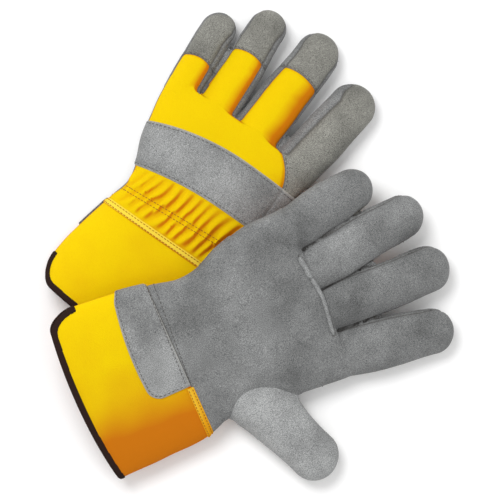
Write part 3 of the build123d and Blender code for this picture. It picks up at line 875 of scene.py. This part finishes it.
# --- Dressing a glove ---
def dress(glove):
    """Make all the pieces that are seen of a glove, in the place of its CAD nodes."""
    made = Skin(*skin(glove))
    fields = seam_fields(glove)
    for field in fields.values():
        made.split(field)
    edges = (
        lambda p: rim_field(glove, p),
        lambda p: rim_field(glove, p, BINDING_WIDTH),
        lambda p: strap_field(glove, p),
        patch_field,
        lambda p: p[:, 0] - BAND_SPAN[0],
        lambda p: p[:, 0] - BAND_SPAN[1],
    )
    for field in edges:
        made.split(field)
    rest, triangles = made.rest, made.triangles
    centres = made.centres()
    inside = rim_field(glove, centres) > 0
    triangles, centres = triangles[inside], centres[inside]

    seams = {key: field(rest) for key, field in fields.items()}
    normals = normals_of(rest, triangles)
    gathered = gathers(glove, rest)
    lift = soft_folds(glove, rest) + gathered
    nearest = np.full(len(rest), AWAY)
    for key, distance in seams.items():
        lift += groove(distance, 0.9 if key == "side" else 0.7, 1.1)
        nearest = np.minimum(nearest, np.abs(distance) + (1.0 if key == "thumb" else 0.0))
    points = rest + normals * lift[:, None]
    normals = normals_of(points, triangles)
    # Painted shade, carried to the materials as the crease attribute: darkest in the seam grooves and in the
    # valleys of the gathers; the thumb's seam counts 1 mm farther off, so it gets less.
    shade = np.maximum(np.exp(-((nearest / 0.5) ** 2)), np.clip(-gathered / 1.4, 0, 0.55))

    names = piece_names(glove, centres)
    prefix = glove["name"] + "_"
    for name in np.unique(names):
        material, slot_name, thick = FINISH.get(name, (GREY, "grey_suede", LEATHER))
        piece = shell(glove, name, triangles[names == name], rest, points, points - normals * thick, shade)
        piece.data.materials.append(material)
        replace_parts(piece, prefix + name)
    add_overlays(glove, triangles, centres, rest, points, normals)
    add_stitches(glove, triangles, rest, points, normals, seams)


def overlay(glove, name, triangles, rest, points, normals, distance, thick, material, slot_name):
    """A layer sewn on top: the same surface, raised by its thickness with a rounded edge."""
    raised = OVER + thick * rolled(distance, 0.8)
    shade = -np.exp(-((distance / 0.45) ** 2))
    outer = points + normals * raised[:, None]
    inner = points + normals * OVER * 0.3
    piece = shell(glove, name, triangles, rest, outer, inner, shade)
    piece.data.materials.append(material)
    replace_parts(piece, f"{glove['name']}_{name}")
    return piece


def band_reach(glove, p):
    """Positive where the band over the cuff seam runs: the back, and round the thumb side onto the palm."""
    return np.maximum(-palm_side(glove, p), PATCH_THUMB_Y - 1.5 - p[:, 1])


def add_overlays(glove, triangles, centres, rest, points, normals):
    """The strap, the patch, the band and the binding, which lie on the skin."""
    back = palm_side(glove, centres) < 0
    off_thumb = thumb_lead(glove, centres) < 0

    def put(name, mask, *layer):
        overlay(glove, name, triangles[mask], rest, points, normals, *layer)

    strap_mask = (strap_field(glove, centres) < 0) & back & off_thumb
    put("knuckle_strap", strap_mask, -strap_field(glove, rest), STRAP, GREY_STRAP, "grey_suede")
    patch_mask = (patch_field(centres) < 0) & ~back
    put("pulse_patch", patch_mask, -patch_field(rest), STRAP, GREY_STRAP, "grey_suede")
    x = centres[:, 0]
    band_mask = (x > BAND_SPAN[0]) & (x < BAND_SPAN[1]) & (band_reach(glove, centres) > 0)
    edge = np.minimum(rest[:, 0] - BAND_SPAN[0], BAND_SPAN[1] - rest[:, 0])
    put("cuff_seam_band", band_mask, edge, BAND, BAND_YELLOW, "yellow_drill")
    bind(glove, triangles, centres, rest, points, normals)


def bind(glove, triangles, centres, rest, points, normals):
    """The tape folded over the rim, from the outside round to the inside."""
    distance = rim_field(glove, rest)
    mask = (rim_field(glove, centres) < BINDING_WIDTH) & (rim_field(glove, centres) > 0)
    fold = np.clip(distance / 1.4, 0, 1)
    round_off = np.sqrt(1 - (1 - fold) ** 2)
    full = round_off * rolled(BINDING_WIDTH - distance, 0.6)
    forward = np.array([-1.0, 0, 0]) * (1.1 * (1 - fold) ** 1.5)[:, None]
    half = CANVAS / 2
    middle = points - normals * half
    outer = middle + normals * ((half * 0.3) + (half * 0.7 + BINDING) * full)[:, None] + forward
    inner = middle - normals * ((half * 0.3) + (half * 0.7 + BINDING) * full)[:, None] + forward
    piece = shell(glove, "cuff_binding", triangles[mask], rest, outer, inner, np.zeros(len(rest)))
    piece.data.materials.append(TAPE)
    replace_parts(piece, f"{glove['name']}_cuff_binding")


def add_stitches(glove, triangles, rest, points, normals, seams):
    """Rows of stitches beside the seams and along the edges of what is sewn on."""
    palm = palm_side(glove, rest)
    off_thumb = thumb_lead(glove, rest) < -1.5

    def rows(values, mask, height):
        raised = np.hstack([points + normals * height, normals])
        usable = mask[triangles].all(axis=1)
        return contour(raised, triangles[usable], values)

    over = STRAP + OVER
    strap, patch = strap_field(glove, rest), patch_field(rest)
    x, y = rest[:, 0], rest[:, 1]
    grey = rows(strap + 2.0, (palm < -0.5) & off_thumb, over)
    grey += rows(patch + 1.8, (palm > 0.5) & (x < PATCH_X[1] - 2.5), over)
    grey += rows(x - PATCH_X[1] + 2.2 - 0.03 * y, (palm > 0.5) & (y > PATCH_THUMB_Y + 2), over)
    grey += rows(x - PATCH_X[1] - 1.6 - 0.06 * y, (palm > 0.5) & (y > PATCH_THUMB_Y + 1), 0.1)
    grey += rows(seams["index_panel"] + 1.6, (palm < -2) & off_thumb & (x < glove["knuckle"] + 2), 0.05)
    for name in CAP_LENGTH:
        grey += rows(seams[f"{name}_cap"] - 1.4, (seams[f"{name}_cap"] < 40) & (palm < -4), 0.05)
    stitches(glove, "grey_stitches", grey, GREY_THREAD, radius=0.24)

    gold = []
    for step in (-ELASTIC_ROW, ELASTIC_ROW):
        gold += rows(elastic_row(glove, rest) - step, (palm < -0.5) & off_thumb, 0.05)
    on_band = band_reach(glove, rest) > 0.5
    for edge in (BAND_SPAN[0] + 0.9, BAND_SPAN[1] - 0.9):
        gold += rows(x - edge, on_band, BAND + OVER)
    stitches(glove, "gold_stitches", gold, GOLD_THREAD, pitch=2.5, length=1.8, radius=0.28)

    ring, middle = glove["fingers"]["ring"], glove["fingers"]["middle"]
    near = (palm > 2) & (y > middle[0] - middle[4]) & (y < ring[0] + ring[4])
    piping(glove, "finger_root_welt", max(rows(seams["fronts"], near, 0.9), key=len), (1.9, 1.3), GREY_THUMB)


def piping(glove, name, line, radii, material):
    """A round cord of leather along a line of points and normals, from the first radius to the second."""
    if line[0, 1] < line[-1, 1]:
        line = line[::-1]
    along = np.concatenate([[0], np.cumsum(np.linalg.norm(np.diff(line[:, :3], axis=0), axis=1))])
    stops = np.arange(0, along[-1], 1.5)
    line = np.column_stack([np.interp(stops, along, line[:, k]) for k in range(6)])
    rings = []
    for k, row in enumerate(line):
        middle, up = row[:3], row[3:] / np.linalg.norm(row[3:])
        way = line[min(k + 1, len(line) - 1), :3] - line[max(k - 1, 0), :3]
        beside = np.cross(way / np.linalg.norm(way), up)
        radius = np.interp(k, (0, len(line) - 1), radii)
        size = radius * min(1, 0.45 + 0.3 * min(k, len(line) - 1 - k))
        angles = np.linspace(0, 2 * np.pi, 10, endpoint=False)[:, None]
        rings.append(middle + size * (np.cos(angles) * beside + np.sin(angles) * up))
    vertices, faces = ring_tube(rings)
    made = new_object(f"{glove['name']}_{name}_look", lay(glove, vertices), faces)
    cloth = made.data.attributes.new("cloth", "FLOAT_VECTOR", "POINT")
    cloth.data.foreach_set("vector", vertices.ravel())
    made.data.materials.append(material)
    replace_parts(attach(made, glove["body"]), f"{glove['name']}_{name}")


for one in (LEFT, RIGHT):
    dress(one)


# --- Inside pieces, which keep their CAD shape ---
for side in ("left", "right"):
    for name in ("palm_lining", "wrist_elastic"):
        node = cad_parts[f"{side}_{name}"]
        node.data.materials.clear()
        node.data.materials.append(FLANNEL)


# --- Floor, light and camera ---
PICTURE_SIDE = 0.345     # width of the picture, on the bench
CAMERA_HEIGHT = 2.2
FOCUS_HEIGHT = 0.015     # at which the picture is that wide
CAMERA_PLACE = (0.0001, -0.0035, CAMERA_HEIGHT)


def white_world():
    world = bpy.data.worlds.new("studio")
    bpy.context.scene.world = world
    world.use_nodes = True
    tree = world.node_tree
    background = tree.nodes["Background"]
    background.inputs["Color"].default_value = (1, 1, 1, 1)
    background.inputs["Strength"].default_value = 0.75


def stage():
    bpy.ops.mesh.primitive_plane_add(size=30, location=(0, 0, -0.0002))
    floor = bpy.context.object
    floor.name = "floor"
    material = bpy.data.materials.new("floor")
    material.use_nodes = True
    shader = material.node_tree.nodes["Principled BSDF"]
    shader.inputs["Base Color"].default_value = (0.93, 0.93, 0.93, 1)
    shader.inputs["Roughness"].default_value = 0.9
    shader.inputs["Specular IOR Level"].default_value = 0.0
    floor.data.materials.append(material)


def area_light(name, place, size, power):
    """A round soft lamp that points at the middle of the bench."""
    light = bpy.data.lights.new(name, "AREA")
    light.shape = "DISK"
    light.size = size
    light.energy = power
    made = bpy.data.objects.new(name, light)
    made.location = place
    made.rotation_mode = "QUATERNION"
    made.rotation_quaternion = (-made.location).to_track_quat("-Z", "Y")
    bpy.context.scene.collection.objects.link(made)


def camera():
    made = bpy.data.objects.new("camera", bpy.data.cameras.new("camera"))
    made.location = CAMERA_PLACE
    made.data.sensor_width = 36
    made.data.lens = made.data.sensor_width * (CAMERA_HEIGHT - FOCUS_HEIGHT) / PICTURE_SIDE
    bpy.context.scene.collection.objects.link(made)
    bpy.context.scene.camera = made


white_world()
stage()
area_light("key", (-0.42, 0.62, 1.3), 0.8, 13.5)
area_light("fill", (0.5, -0.3, 1.5), 1.4, 3.5)
camera()
bpy.context.scene.view_settings.view_transform = "Standard"
